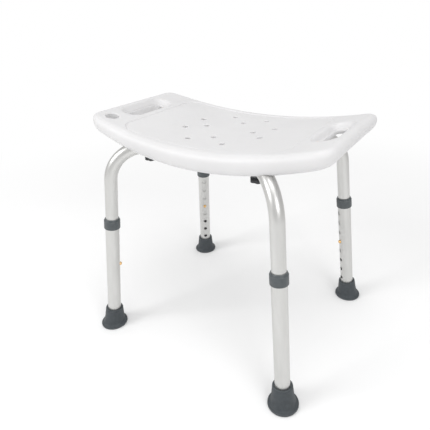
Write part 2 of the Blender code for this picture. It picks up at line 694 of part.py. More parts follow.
def build_button(corner, axis):
    """Snap button on a folded leaf spring inside the frame tube."""
    profile = (
        (0.0, 0.0177), (0.0021, 0.0177), (0.0034, 0.0170), (BUTTON_R, 0.0158), (BUTTON_R, 0.0098),
        (0.0046, 0.0096), (0.0046, 0.0088), (0.0, 0.0088),
    )
    at_button = Matrix.Translation((0, 0, BUTTON_AT))
    add_part(turned("snap_button_" + corner, profile, 10), BUTTON_BRASS, axis, at_button @ SIDEWAYS)

    fold = (  # (towards the holes, up the leg) from the button's height
        (0.0082, 0.0085), (0.0082, -0.0075), (0.0040, -0.0220), (0.0008, -0.0268),
        (-0.0030, -0.0268), (-0.0062, -0.0215), (-0.0099, 0.0020), (-0.0101, 0.0080),
    )
    bm = bmesh.new()
    rows = [[bm.verts.new((x, side * SPRING_HALF_W, z)) for side in (-1, 1)] for x, z in fold]
    for (a, b), (c, d) in zip(rows, rows[1:]):
        bm.faces.new((a, b, d, c))
    strip = bpy.data.objects.new("leaf_spring_" + corner, finish_mesh("leaf_spring", bm))
    wall = strip.modifiers.new("wall", "SOLIDIFY")
    wall.thickness = SPRING_THICKNESS
    wall.offset = 0.0
    add_part(strip, SPRING_STEEL, axis, at_button)


def build_leg(corner, signs):
    frame = leg_frame(*signs)
    axis = axis_empty("leg_axis_" + corner, frame)
    build_lower_leg(corner, axis)
    build_collar(corner, axis)
    build_foot(corner, axis, frame)
    build_button(corner, axis)


build_seat()
build_frame_tube("frame_tube_left_front_to_right_back", CORNERS["back_right"], CROSS_UPPER_Z)
build_frame_tube("frame_tube_right_front_to_left_back", CORNERS["front_right"], CROSS_LOWER_Z)
build_crossing()
for corner_name, corner_signs in CORNERS.items():
    build_seat_bolt(corner_name, corner_signs)
    build_leg(corner_name, corner_signs)
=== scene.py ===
"""Looks of the height-adjustable shower stool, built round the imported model.

Metres, +Z up, -Y is the front. Legs and bolts are placed from the record's joints and mounts. The seat's
length and width and the knobs' heights are read from the CAD nodes' boxes. The other main sizes repeat the
part's driving dimensions, and fine steps and rounds are added here. A CAD node that nothing here replaces is
shown as it is, with its material.
"""

import json
import math

import bmesh
import bpy
from mathutils import Matrix, Vector


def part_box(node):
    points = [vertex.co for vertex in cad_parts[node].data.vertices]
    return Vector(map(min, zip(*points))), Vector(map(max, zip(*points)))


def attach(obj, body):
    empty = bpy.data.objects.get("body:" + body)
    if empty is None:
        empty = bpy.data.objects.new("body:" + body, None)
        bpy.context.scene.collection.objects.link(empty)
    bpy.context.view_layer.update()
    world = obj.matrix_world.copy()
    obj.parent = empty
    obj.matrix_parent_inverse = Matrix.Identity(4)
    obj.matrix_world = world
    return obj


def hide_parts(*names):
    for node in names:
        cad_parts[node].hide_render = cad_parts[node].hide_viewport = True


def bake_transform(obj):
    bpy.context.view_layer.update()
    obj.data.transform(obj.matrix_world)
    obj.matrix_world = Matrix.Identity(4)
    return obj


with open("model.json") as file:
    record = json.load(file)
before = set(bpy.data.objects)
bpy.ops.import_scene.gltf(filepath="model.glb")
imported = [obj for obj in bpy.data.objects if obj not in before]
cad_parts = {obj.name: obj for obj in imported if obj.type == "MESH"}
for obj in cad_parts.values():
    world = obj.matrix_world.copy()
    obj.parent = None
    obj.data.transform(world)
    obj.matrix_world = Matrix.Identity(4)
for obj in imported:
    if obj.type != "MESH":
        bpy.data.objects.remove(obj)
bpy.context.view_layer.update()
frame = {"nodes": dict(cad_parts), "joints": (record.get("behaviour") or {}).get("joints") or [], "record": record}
JOINTS = {joint["name"]: joint for joint in frame["joints"]}
MOUNTS = {mount["name"]: mount for mount in frame["record"]["mounts"]}
SLOT_OF = {part["node"]: part["material_slot"] for part in frame["record"]["subparts"]}
CORNERS = ("front_left", "front_right", "back_right", "back_left")
FRAME_TUBES = {  # the corners at each tube's two ends
    "frame_tube_left_front_to_right_back": ("back_right", "front_left"),
    "frame_tube_right_front_to_left_back": ("front_right", "back_left"),
}
FIXED = "seat_and_frame"

# ---- Camera -----------------------------------------------------------------
CAMERA_AT = Vector((0.4368, -0.6776, 0.6669))
CAMERA_YAW = 0.5686
CAMERA_PITCH = 0.4149
CAMERA_ROLL = -0.0296
CAMERA_LENS = 35.4
CAMERA_SHIFT = (-0.0415, -0.0652)
ROOM_LIGHT = 0.70  # strength of the white room round the stool
BACKDROP = 1.0  # how bright the room looks to the camera
FADE_FROM, FADE_TO = 0.45, 1.6  # the floor turns into backdrop between these distances
FLOOR_HALF, FLOOR_DROP = 60, 0.0002
LIGHTS_AIM = Vector((0, 0, 0.3))

# ---- Seat -------------------------------------------------------------------
SEAT_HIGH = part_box("seat")[1]
SEAT_HALF_LENGTH = SEAT_HIGH.x
SEAT_HALF_WIDTH = SEAT_HIGH.y
SEAT_TAPER = 0.138
SEAT_CORNER_R = 0.028
SEAT_MID_Z = 0.4361
SEAT_CURVE = 0.541
EDGE_DEPTH = 0.038
EDGE_DEPTH_LOSS = 0.0085
RIM_WIDEST = 0.44  # how far down the rim it is widest, as a share of its depth
RIM_TOP_INSET, RIM_UNDER_INSET = 0.015, 0.012
RIM_FOOT_INSET, RIM_FOOT_R = 0.028, 0.016
RIM_ROOT_INSET, RIM_ROOT_R = 0.034, 0.012
PANEL_DEPTH = 0.0165
PANEL_SINK = 0.0009  # the panel inside the groove lies this much lower
GROOVE_HALF = (0.1755, 0.1250)
GROOVE_R = 0.032
GROOVE_TAPER = 0.07
GROOVE_DEPTH = 0.0013
GROOVE_HALF_WIDTH = 0.0026
DRAIN_R, DRAIN_LIP = 0.0055, 0.0013
DRAIN_OUTER = ((0.0840, 0.0315), (0.0380, 0.0846))
DRAIN_END_X, DRAIN_SIDE_Y = 0.0534, 0.0545
HANDHOLD_X = 0.2115
HANDHOLD_HALF = (0.024, 0.064)
HANDHOLD_R = 0.0225
HANDHOLD_DEPTH = 0.009
HANDHOLD_WALL = 0.0095  # width of the recess's sloping wall
HANDHOLD_BRIM = 0.08  # share of that wall that lies outside the recess's outline
SLOT_HALF = (0.0125, 0.047)
SLOT_R, SLOT_LIP = 0.0115, 0.0022
HOLDER_XY = (-0.2165, -0.0975)
HOLDER_R, HOLDER_LIP = 0.0135, 0.0026
SCOOP_R, SCOOP_HALF = 0.022, 0.076
SCOOP_OUT, SCOOP_DROP = 0.0135, 0.034
DRAIN_CUT, DEEP_CUT = 0.03, 0.045  # how far below its mouth a hole's cutter reaches
SEAT_COUNTS = (14, 60, 60)  # points on a corner, a long side and a short side
PANEL_STEPS, GROOVE_STEPS, BAND_STEPS = 16, 4, 26  # between sections, from the middle outwards
ROLL_STEPS, TUCK_STEPS, UNDER_STEPS = 12, 4, 8
PANEL_REACH, UNDER_REACH = 0.97, 0.95  # share of the groove's outline that those inner sections reach
SLOT_STEPS = 14  # on each corner of a handhold's slot

# ---- Tubes and fittings -----------------------------------------------------
TUBE_TOP_Z = 0.412
BEND_R = 0.070
FRAME_R = 0.0127
FRAME_WALL = 0.0012
FRAME_END = 0.117
FLAT_HALF_H, FLAT_HALF_W = 0.0055, 0.0164
FLAT_BOXINESS = 0.62
FLAT_FROM, FLAT_TO = 0.0425, 0.0220
STRAIGHT_STEPS, BEND_STEPS, FLAT_STEPS = 12, 36, 14
TUBE_SIDES, TUBE_TURN = 56, 0.05  # the turn keeps the tube's edges off its planes of symmetry
CHANNEL_R, CHANNEL_END = FRAME_R + 0.0004, 0.0370
CROSS_Z = {"frame_tube_left_front_to_right_back": 0.4167, "frame_tube_right_front_to_left_back": 0.4043}
POCKET_R, POCKET_BOTTOM, POCKET_TOP = 0.0430, 0.39, 0.4256
LEG_R, LEG_BORE = 0.0140, 0.0131
LEG_BOTTOM, LEG_TOP = 0.0085, 0.2620
HOLE_R, HOLE_PITCH = 0.0042, 0.025
HOLES_ABOVE, HOLES_BELOW = 3, 4
LEG_DRILL_AT, LEG_DRILL = 0.013, 0.010  # middle and length of the cut through a leg's wall
FRAME_DRILL_AT, FRAME_DRILL = 0.012, 0.012
BOLT_DRILL_AT, BOLT_DRILL = 0.41, 0.04
BUTTON_AT = 0.1552
BUTTON_R = 0.0038
SPRING_HALF_W, SPRING_THICKNESS = 0.0033, 0.0007
SPRING_FOLD = (  # (towards the holes, up the leg) from the button's height
    (0.0082, 0.0085), (0.0082, -0.0075), (0.0040, -0.0220), (0.0008, -0.0268),
    (-0.0030, -0.0268), (-0.0062, -0.0215), (-0.0099, 0.0020), (-0.0101, 0.0080),
)
COLLAR_R, COLLAR_FOOT_R = 0.0163, 0.0155
COLLAR_BOTTOM, COLLAR_TOP = 0.2450, 0.2673
FOOT_R = 0.0283
SLEEVE_TOP = 0.0425
KNOB_R = 0.0140
KNOB_LOBES, LOBE_DEPTH = 6, 0.085
KNOB_SIDES = 96
KNOB_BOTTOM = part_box("hand_knob_front_left")[0].z
KNOB_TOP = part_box("hand_knob_front_left")[1].z
HEAD_TOP = 0.3908
BOLT_R, BOLT_HOLE_R, BOLT_HEAD_R = 0.0029, 0.0034, 0.0055
SOCKET_R, SOCKET_MIDDLE, SOCKET_DEPTH = 0.0061, 0.4236, 0.0272
GAP = 0.0003
ROUND = 64  # sides of a visible round piece
SHARP = 35  # degrees between faces, above which an edge isn't smoothed

SIDEWAYS = Matrix.Rotation(math.pi / 2, 4, "Y")

pieces = bpy.data.collections.new("visible_pieces")
bpy.context.scene.collection.children.link(pieces)


# ---- Small maths ------------------------------------------------------------
def blend(a, b, t):
    return a + (b - a) * t


def smooth(t):
    t = min(max(t, 0.0), 1.0)
    return t * t * (3 - 2 * t)


def circle(r, z, n, turn=0.0):
    angles = [turn + math.tau * i / n for i in range(n)]
    return [Vector((r * math.cos(a), r * math.sin(a), z)) for a in angles]


def fillet(start, end, steps, convex=True):
    """Quarter round from start to end in (r, z), leaving start along z if convex, along r if not."""
    out = []
    for i in range(steps + 1):
        a = math.pi / 2 * i / steps
        across, along = (1 - math.cos(a), math.sin(a)) if convex else (math.sin(a), 1 - math.cos(a))
        out.append((blend(start[0], end[0], across), blend(start[1], end[1], along)))
    return out


def rounded_rect_distance(x, y, half_x, half_y, r):
    """Signed distance to a rounded rectangle, negative inside."""
    dx, dy = abs(x) - half_x + r, abs(y) - half_y + r
    return math.hypot(max(dx, 0), max(dy, 0)) + min(max(dx, dy), 0) - r


# ---- Meshes -----------------------------------------------------------------
def mesh_object(name, bm, sharp=SHARP):
    mesh = bpy.data.meshes.new(name)
    bm.to_mesh(mesh)
    bm.free()
    mesh.shade_smooth()
    mesh.set_sharp_from_angle(angle=math.radians(sharp))
    obj = bpy.data.objects.new(name, mesh)
    pieces.objects.link(obj)
    return obj


def loft(name, rings, caps, sharp=SHARP):
    """Skins rings of equal count. Its UVs are metres round and along, for finishes that follow the form."""
    bm = bmesh.new()
    layer = bm.loops.layers.uv.new("along")
    rows = [[bm.verts.new(p) for p in ring] for ring in rings]
    n = len(rings[0])
    pairs = list(zip(rows, rows[1:]))
    if caps == "loop":
        pairs.append((rows[-1], rows[0]))
    v = 0.0
    for a, b in pairs:
        step = (a[0].co - b[0].co).length
        girth = (a[0].co - a[n // 2].co).length * math.pi
        for i in range(n):
            j = (i + 1) % n
            face = bm.faces.new((a[i], a[j], b[j], b[i]))
            for loop, (du, dv) in zip(face.loops, ((0, 0), (1, 0), (1, 1), (0, 1))):
                loop[layer].uv = ((i + du) / n * girth, v + dv * step)
        v += step
    if caps == "ends":
        for row in (rows[0], rows[-1]):
            centre = bm.verts.new(sum((p.co for p in row), Vector()) / n)
            for i in range(n):
                bm.faces.new((row[i], row[(i + 1) % n], centre))
    bmesh.ops.recalc_face_normals(bm, faces=bm.faces)
    if bm.calc_volume(signed=True) < 0:
        bmesh.ops.reverse_faces(bm, faces=bm.faces)
    return mesh_object(name, bm, sharp)


def turned(name, profile, caps="ends", n=ROUND, sharp=SHARP):
    """Revolves (r, z) pairs about local Z."""
    return loft(name, [circle(r, z, n) for r, z in profile], caps, sharp)


def cylinders(name, places, radius, length, sides=32):
    bm = bmesh.new()
    for at in places:
        bmesh.ops.create_cone(
            bm, cap_ends=True, segments=sides, radius1=radius, radius2=radius, depth=length, matrix=at
        )
    return mesh_object(name, bm)


def merged(name, objects):
    """One cutter from several closed meshes that don't touch."""
    bm = bmesh.new()
    for obj in objects:
        bm.from_mesh(obj.data)
        bpy.data.objects.remove(obj)
    return mesh_object(name, bm)


def carve(obj, cutters):
    """Cuts the cutters away, in turn, and keeps the result as the object's own mesh."""
    for cutter in cutters:
        mod = obj.modifiers.new(cutter.name, "BOOLEAN")
        mod.operation = "DIFFERENCE"
        mod.solver = "EXACT"
        mod.object = cutter
    weighted = obj.modifiers.new("normals", "WEIGHTED_NORMAL")
    weighted.keep_sharp = True
    weighted.weight = 60
    bpy.context.view_layer.update()
    graph = bpy.context.evaluated_depsgraph_get()
    mesh = bpy.data.meshes.new_from_object(obj.evaluated_get(graph))
    obj.modifiers.clear()
    obj.data = mesh
    for cutter in cutters:
        bpy.data.objects.remove(cutter)


def place(obj, matrix):
    obj.data.transform(matrix)
    return obj


def dress(obj, body, node, mat):
    """Gives a finished piece its material and the body it rides on, and hides the CAD node it stands for."""
    obj.data.materials.clear()
    obj.data.materials.append(mat)
    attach(obj, body)
    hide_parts(node)


# ---- Materials --------------------------------------------------------------
class Finish:
    """A Principled material and short calls for the nodes that colour, roughen and bump it."""

    def __init__(self, name, rgb, roughness, metallic=0.0, **sockets):
        self.mat = bpy.data.materials.new(name)
        self.mat.use_nodes = True
        self.tree = self.mat.node_tree
        self.shader = self.tree.nodes["Principled BSDF"]
        self.shader.inputs["Base Color"].default_value = (*rgb, 1)
        self.shader.inputs["Roughness"].default_value = roughness
        self.shader.inputs["Metallic"].default_value = metallic
        for socket, value in sockets.items():
            self.shader.inputs[socket.replace("_", " ")].default_value = value
        self.coords = self.tree.nodes.new("ShaderNodeTexCoord")
        self.bump_end = None

    def link(self, a, b):
        self.tree.links.new(a, b)

    def noise(self, scale, detail=3.0, stretch=None, source="Object"):
        """Noise in object space, or in the piece's own UVs drawn out by stretch."""
        mapping = self.tree.nodes.new("ShaderNodeMapping")
        mapping.inputs["Scale"].default_value = stretch or (1, 1, 1)
        self.link(self.coords.outputs[source], mapping.inputs["Vector"])
        node = self.tree.nodes.new("ShaderNodeTexNoise")
        node.inputs["Scale"].default_value = scale
        node.inputs["Detail"].default_value = detail
        self.link(mapping.outputs["Vector"], node.inputs["Vector"])
        return node.outputs["Fac"]

    def ramp(self, fac, low, high, span=(0.3, 0.7)):
        node = self.tree.nodes.new("ShaderNodeValToRGB")
        node.color_ramp.elements[0].position = span[0]
        node.color_ramp.elements[1].position = span[1]
        node.color_ramp.elements[0].color = (*low, 1)
        node.color_ramp.elements[1].color = (*high, 1)
        self.link(fac, node.inputs["Fac"])
        return node.outputs["Color"]

    def colour(self, fac, low, high):
        self.link(self.ramp(fac, low, high), self.shader.inputs["Base Color"])

    def edge_highlight(self, base, highlight):
        """Painted highlight: a paler colour on convex edges, laid over a base colour output."""
        geometry = self.tree.nodes.new("ShaderNodeNewGeometry")
        # Pointiness picks out the convex edges, where the paler colour is painted on as a highlight.
        highlight_mask = self.ramp(geometry.outputs["Pointiness"], (0, 0, 0), (1, 1, 1), span=(0.52, 0.60))
        mix = self.tree.nodes.new("ShaderNodeMix")
        mix.data_type = "RGBA"
        self.link(highlight_mask, mix.inputs["Factor"])
        self.link(base, mix.inputs["A"])
        mix.inputs["B"].default_value = (*highlight, 1)
        self.link(mix.outputs["Result"], self.shader.inputs["Base Color"])

    def roughness(self, fac, low, high):
        node = self.tree.nodes.new("ShaderNodeMapRange")
        node.inputs["To Min"].default_value = low
        node.inputs["To Max"].default_value = high
        self.link(fac, node.inputs["Value"])
        self.link(node.outputs["Result"], self.shader.inputs["Roughness"])

    def bump(self, fac, strength, distance):
        node = self.tree.nodes.new("ShaderNodeBump")
        node.inputs["Strength"].default_value = strength
        node.inputs["Distance"].default_value = distance
        self.link(fac, node.inputs["Height"])
        if self.bump_end:
            self.link(self.bump_end, node.inputs["Normal"])
        self.bump_end = node.outputs["Normal"]
        self.link(self.bump_end, self.shader.inputs["Normal"])


def seat_plastic():
    """Satin white polyethylene: faint mottling, a fine blasted grain and slow waves from moulding."""
    f = Finish("seat_plastic", (0.685, 0.68, 0.685), 0.42, Subsurface_Weight=0.12, Subsurface_Scale=0.006)
    f.shader.inputs["Subsurface Radius"].default_value = (1.0, 0.95, 0.88)
    f.colour(f.noise(9, 4), (0.668, 0.663, 0.667), (0.702, 0.697, 0.701))
    f.roughness(f.noise(160, 4), 0.36, 0.50)
    f.bump(f.noise(14, 2), 0.10, 0.0012)
    f.bump(f.noise(1500, 2), 0.16, 0.00012)
    return f.mat


def aluminium(name):
    """Satin anodised tube: drawn lines along its length, soft clouding and a few handling marks."""
    f = Finish(name, (0.80, 0.80, 0.79), 0.36, 1.0)
    f.colour(f.noise(1, 3, (60, 9, 1), "UV"), (0.605, 0.603, 0.588), (0.665, 0.663, 0.650))
    f.roughness(f.noise(1, 4, (900, 14, 1), "UV"), 0.30, 0.44)
    f.bump(f.noise(1, 3, (2600, 16, 1), "UV"), 0.22, 0.00006)
    f.bump(f.noise(1, 2, (70, 40, 1), "UV"), 0.06, 0.0003)
    return f.mat


def moulded(name, low, high, highlight, roughness, grain):
    """Moulded plastic or rubber: mottled colour, matt grain and a painted highlight that makes convex edges paler.
    """
    f = Finish(name, low, roughness)
    # Convex edges get the painted highlight colour.
    f.edge_highlight(f.ramp(f.noise(140, 4), low, high), highlight)
    f.roughness(f.noise(420, 3), roughness - 0.07, roughness + 0.07)
    f.bump(f.noise(60, 3), 0.10, 0.0004)
    f.bump(f.noise(1700, 2), 0.30, grain)
    return f.mat


def metal(name, low, high, roughness):
    """Plated or machined metal with clouding and fine scratches."""
    f = Finish(name, low, roughness, 1.0)
    f.colour(f.noise(220, 4), low, high)
    f.roughness(f.noise(900, 3), roughness - 0.08, roughness + 0.10)
    f.bump(f.noise(1300, 3, (1, 1, 0.12)), 0.20, 0.00005)
    return f.mat


MATERIALS = {
    "seat_plastic": seat_plastic(),
    "frame_aluminium": aluminium("frame_aluminium"),
    "leg_aluminium": aluminium("leg_aluminium"),
    # The third colour of each moulded finish is the painted highlight on its convex edges.
    "collar_plastic": moulded(
        "collar_plastic", (0.058, 0.068, 0.073), (0.075, 0.086, 0.092), (0.30, 0.31, 0.31), 0.42, 0.00004
    ),
    "foot_rubber": moulded(
        "foot_rubber", (0.037, 0.044, 0.050), (0.051, 0.060, 0.067), (0.11, 0.122, 0.13), 0.58, 0.00008
    ),
    "knob_plastic": moulded(
        "knob_plastic", (0.016, 0.018, 0.020), (0.026, 0.028, 0.031), (0.07, 0.073, 0.076), 0.42, 0.00006
    ),
    "trim_plastic": moulded(
        "trim_plastic", (0.030, 0.032, 0.035), (0.045, 0.048, 0.051), (0.09, 0.093, 0.096), 0.48, 0.00006
    ),
    "fitting_steel": metal("fitting_steel", (0.52, 0.53, 0.54), (0.66, 0.67, 0.68), 0.30),
    "spring_steel": metal("spring_steel", (0.42, 0.43, 0.46), (0.56, 0.57, 0.60), 0.28),
    "button_brass": metal("button_brass", (0.74, 0.44, 0.16), (0.86, 0.56, 0.25), 0.26),
    "insert_brass": metal("insert_brass", (0.62, 0.44, 0.18), (0.76, 0.56, 0.26), 0.34),
}


# ---- Placement --------------------------------------------------------------
def leg_frame(corner):
    """Z up the leg, X towards its row of holes, origin where the leg's axis meets the floor."""
    up = -Vector(JOINTS["leg_height_" + corner]["axis"]).normalized()
    face = -Vector(JOINTS["button_press_" + corner]["axis"]).normalized()
    matrix = Matrix.Identity(4)
    for column, axis in enumerate((face, up.cross(face), up)):
        matrix.col[column][:3] = axis
    matrix.col[3][:3] = MOUNTS["foot_" + corner]["pos_m"]
    return matrix


def bolt_place(corner):
    at = JOINTS["knob_turn_" + corner]["pos_m"]
    return Matrix.Translation((at[0], at[1], 0))


def level_axes(corner):
    """Level unit vectors: out from the middle towards the corner's foot, and square to that."""
    along = Vector((*Vector(MOUNTS["foot_" + corner]["pos_m"]).xy.normalized(), 0))
    return along, Vector((-along.y, along.x, 0))


def section_at(along, reach, z, a):
    """Middle and outer normal of a tube's section, whose tangent is turned by a from along towards up."""
    return along * reach + Vector((0, 0, z)), along * math.sin(a) + Vector((0, 0, -math.cos(a)))


def half_path(corner, cross_z):
    """Frame tube's centre line from its bottom end to the middle: (reach, z, tangent angle, squash)."""
    up = leg_frame(corner).col[2]
    tilt = math.acos(up[2])
    floor_reach = Vector(MOUNTS["foot_" + corner]["pos_m"]).xy.length
    bend_bottom = TUBE_TOP_Z - BEND_R * (1 - math.sin(tilt))
    bend_x = floor_reach - math.tan(tilt) * bend_bottom - BEND_R * math.cos(tilt)
    start = math.pi / 2 + tilt
    out = []
    for i in range(STRAIGHT_STEPS):
        t = blend(FRAME_END, bend_bottom / math.cos(tilt), i / STRAIGHT_STEPS)
        out.append((floor_reach - t * math.sin(tilt), t * math.cos(tilt), start, 0.0))
    for i in range(BEND_STEPS + 1):
        a = blend(start, math.pi, i / BEND_STEPS)
        out.append((bend_x + BEND_R * math.sin(a), TUBE_TOP_Z - BEND_R - BEND_R * math.cos(a), a, 0.0))
    for i in range(FLAT_STEPS + 1):
        t = smooth(i / FLAT_STEPS)
        out.append((blend(FLAT_FROM, FLAT_TO, i / FLAT_STEPS), blend(TUBE_TOP_Z, cross_z, t), math.pi, t))
    out.append((0.0, cross_z, math.pi, 1.0))
    return out


# ---- Seat -------------------------------------------------------------------
def top_z(x):
    return SEAT_MID_Z + SEAT_CURVE * x * x


def narrowing(x, taper):
    return 1 - taper * (x / SEAT_HALF_LENGTH) ** 2


def sink(x, y):
    """How far moulded features lie below the seat's plain top surface."""
    d = rounded_rect_distance(x, y / narrowing(x, GROOVE_TAPER), *GROOVE_HALF, GROOVE_R)
    groove = GROOVE_DEPTH * (1 - smooth(abs(d) / GROOVE_HALF_WIDTH))
    panel = PANEL_SINK * smooth(0.5 - d / (2 * GROOVE_HALF_WIDTH))
    slope = math.hypot(1, 2 * SEAT_CURVE * HANDHOLD_X)
    across = (abs(x) - HANDHOLD_X) * slope
    e = rounded_rect_distance(across, y, *HANDHOLD_HALF, HANDHOLD_R)
    dish = HANDHOLD_DEPTH * smooth(HANDHOLD_BRIM - e / HANDHOLD_WALL)
    return max(groove + panel, dish)


def outline(a, b, r, taper):
    """Rounded rectangle whose long sides draw in towards the ends, anticlockwise from the right end."""
    corner, long_side, short_side = SEAT_COUNTS
    pts = []

    def arc(cx, cy, start):
        for i in range(corner):
            t = start + math.pi / 2 * i / corner
            pts.append((cx + r * math.cos(t), cy + r * math.sin(t)))

    def line(p, q, steps):
        for i in range(steps):
            pts.append((blend(p[0], q[0], i / steps), blend(p[1], q[1], i / steps)))

    line((a, -(b - r)), (a, b - r), short_side)
    arc(a - r, b - r, 0)
    line((a - r, b), (-(a - r), b), long_side)
    arc(-(a - r), b - r, math.pi / 2)
    line((-a, b - r), (-a, -(b - r)), short_side)
    arc(-(a - r), -(b - r), math.pi)
    line((-(a - r), -b), (a - r, -b), long_side)
    arc(a - r, -(b - r), 1.5 * math.pi)
    return [(x, y * narrowing(x, taper)) for x, y in pts]


def rim_depth(x):
    return EDGE_DEPTH - EDGE_DEPTH_LOSS * (x / SEAT_HALF_LENGTH) ** 2


def seat_rings():
    """Sections over the seat's top, round its rolled rim, and under it."""
    rings = []
    groove_x, groove_y = GROOVE_HALF

    def on_top(pts):
        rings.append([Vector((x, y, top_z(x) - sink(x, y))) for x, y in pts])

    def edge(inset, share, r=None):
        r = SEAT_CORNER_R - inset if r is None else r
        fade = max(1 - share / RIM_WIDEST, 0.0)
        pts = outline(SEAT_HALF_LENGTH - inset, SEAT_HALF_WIDTH - inset, r, SEAT_TAPER)
        rings.append([
            Vector((x, y, top_z(x) - share * rim_depth(x) - fade * sink(x, y))) for x, y in pts
        ])

    for i in range(1, PANEL_STEPS + 1):
        f = PANEL_REACH * i / PANEL_STEPS
        on_top(outline(groove_x * f, groove_y * f, GROOVE_R * f, GROOVE_TAPER))
    for i in range(-GROOVE_STEPS, GROOVE_STEPS + 1):
        step = GROOVE_HALF_WIDTH * i / GROOVE_STEPS
        on_top(outline(groove_x + step, groove_y + step, GROOVE_R + step, GROOVE_TAPER))
    brim = GROOVE_HALF_WIDTH
    inner = outline(groove_x + brim, groove_y + brim, GROOVE_R + brim, GROOVE_TAPER)
    top_a, top_b = SEAT_HALF_LENGTH - RIM_TOP_INSET, SEAT_HALF_WIDTH - RIM_TOP_INSET
    outer = outline(top_a, top_b, SEAT_CORNER_R - RIM_TOP_INSET, SEAT_TAPER)
    for i in range(1, BAND_STEPS):
        f = i / BAND_STEPS
        on_top([(blend(p[0], q[0], f), blend(p[1], q[1], f)) for p, q in zip(inner, outer)])
    for i in range(ROLL_STEPS + 1):
        a = math.pi / 2 * i / ROLL_STEPS
        edge(RIM_TOP_INSET * (1 - math.sin(a)), RIM_WIDEST * (1 - math.cos(a)))
    for i in range(1, ROLL_STEPS + 1):
        a = math.pi / 2 * i / ROLL_STEPS
        edge(RIM_UNDER_INSET * (1 - math.cos(a)), blend(RIM_WIDEST, 1.0, math.sin(a)))
    for i in range(1, TUCK_STEPS + 1):
        f = i / TUCK_STEPS
        corner_r = blend(SEAT_CORNER_R - RIM_UNDER_INSET, RIM_FOOT_R, f)
        edge(blend(RIM_UNDER_INSET, RIM_FOOT_INSET, f), 1.0, corner_r)

    def under(a, b, r, taper, drop):
        rings.append([Vector((x, y, top_z(x) - drop)) for x, y in outline(a, b, r, taper)])

    a, b = SEAT_HALF_LENGTH - RIM_ROOT_INSET, SEAT_HALF_WIDTH - RIM_ROOT_INSET
    under(a, b, RIM_ROOT_R, SEAT_TAPER, PANEL_DEPTH)
    for i in range(UNDER_STEPS - 1, 0, -1):
        f = UNDER_REACH * i / UNDER_STEPS
        under(groove_x * f, groove_y * f, GROOVE_R * f, GROOVE_TAPER, PANEL_DEPTH)
    return rings


def hole_frame(x, y, drop=0.0):
    """Z along the top surface's normal at (x, y)."""
    tilt = math.atan(2 * SEAT_CURVE * x)
    return Matrix.Translation((x, y, top_z(x) - drop)) @ Matrix.Rotation(-tilt, 4, "Y")


def drain_places():
    quadrant = [(sx * x, sy * y) for x, y in DRAIN_OUTER for sx in (1, -1) for sy in (1, -1)]
    return quadrant + [(s * DRAIN_END_X, 0) for s in (1, -1)] + [(0, s * DRAIN_SIDE_Y) for s in (1, -1)]


def mouth(radius, lip, top=0.0):
    """Cutter profile for a hole's rounded mouth, from above the surface at top down to the straight wall."""
    above = (radius + lip * 1.02, top + 0.004)
    return [above, *fillet((radius + lip, top + 0.0002), (radius, top - lip), 6, False)]


def flared(name, at, radius, lip, depth, n):
    """Cutter for a round hole whose mouth is at the origin of at."""
    return place(turned(name, mouth(radius, lip) + [(radius, -depth)], n=n), at)


def slot_cutter(frame_matrix):
    """Cutter for a handhold's slot, its mouth rounded at the floor of the recess."""
    rings = []
    for grow, z in mouth(0.0, SLOT_LIP, -HANDHOLD_DEPTH) + [(0.0, -DEEP_CUT)]:
        half_x, half_y, r = SLOT_HALF[0] + grow, SLOT_HALF[1] + grow, SLOT_R + grow
        ring = []
        for k, (cx, cy) in enumerate(((1, 1), (-1, 1), (-1, -1), (1, -1))):
            for i in range(SLOT_STEPS + 1):
                t = math.pi / 2 * (k + i / SLOT_STEPS)
                ring.append(Vector((
                    cx * (half_x - r) + r * math.cos(t), cy * (half_y - r) + r * math.sin(t), z
                )))
        rings.append(ring)
    return place(loft("slot", rings, "ends"), frame_matrix)


def scoop_cutter(side):
    """Cutter for the finger grip under one end: a level barrel along Y with drawn-in ends."""
    half = [(0.0005, -SCOOP_HALF - 0.6 * SCOOP_R)]
    half += fillet((0.3 * SCOOP_R, -SCOOP_HALF - 0.55 * SCOOP_R), (SCOOP_R, -SCOOP_HALF + 0.004), 6, False)
    profile = [(r, -z) for r, z in half] + half[::-1]
    middle = (side * (SEAT_HALF_LENGTH + SCOOP_OUT), 0, top_z(SEAT_HALF_LENGTH) - SCOOP_DROP)
    level = Matrix.Rotation(math.pi / 2, 4, "X")
    return place(turned("scoop", profile, n=48), Matrix.Translation(middle) @ level)


def channel_cutters():
    """Room for the frame tubes under the seat, ending short of the round pocket at the centre."""
    out = []
    for corner in CORNERS:
        along, side = level_axes(corner)
        round_part = [p[:3] for p in half_path(corner, TUBE_TOP_Z) if p[0] > FLAT_FROM]
        path = round_part[STRAIGHT_STEPS - 1::2] + [(CHANNEL_END, TUBE_TOP_Z, math.pi)]
        rings = []
        for reach, z, a in path:
            centre, normal = section_at(along, reach, z, a)
            rings.append([
                centre + side * p.x * CHANNEL_R + normal * p.y * CHANNEL_R for p in circle(1, 0, 36)
            ])
        out.append(loft("channel", rings, "ends"))
    return out


def build_seat():
    seat = loft("seat_moulding", seat_rings(), "ends", 50)
    drains = [hole_frame(x, y, PANEL_SINK) for x, y in drain_places()]
    holes = [flared("drain", at, DRAIN_R, DRAIN_LIP, DRAIN_CUT, 32) for at in drains]
    holes.append(flared("holder", hole_frame(*HOLDER_XY), HOLDER_R, HOLDER_LIP, DEEP_CUT, 56))
    holes += [slot_cutter(hole_frame(s * HANDHOLD_X, 0)) for s in (1, -1)]
    pocket_at = Matrix.Translation((0, 0, (POCKET_BOTTOM + POCKET_TOP) / 2))
    sockets_at = [bolt_place(c) @ Matrix.Translation((0, 0, SOCKET_MIDDLE)) for c in CORNERS]
    carve(seat, [
        merged("holes", holes),
        merged("channels", channel_cutters()),
        cylinders("pocket", [pocket_at], POCKET_R, POCKET_TOP - POCKET_BOTTOM, 72),
        cylinders("sockets", sockets_at, SOCKET_R, SOCKET_DEPTH),
        merged("scoops", [scoop_cutter(s) for s in (1, -1)]),
    ])
    dress(seat, FIXED, "seat", MATERIALS["seat_plastic"])


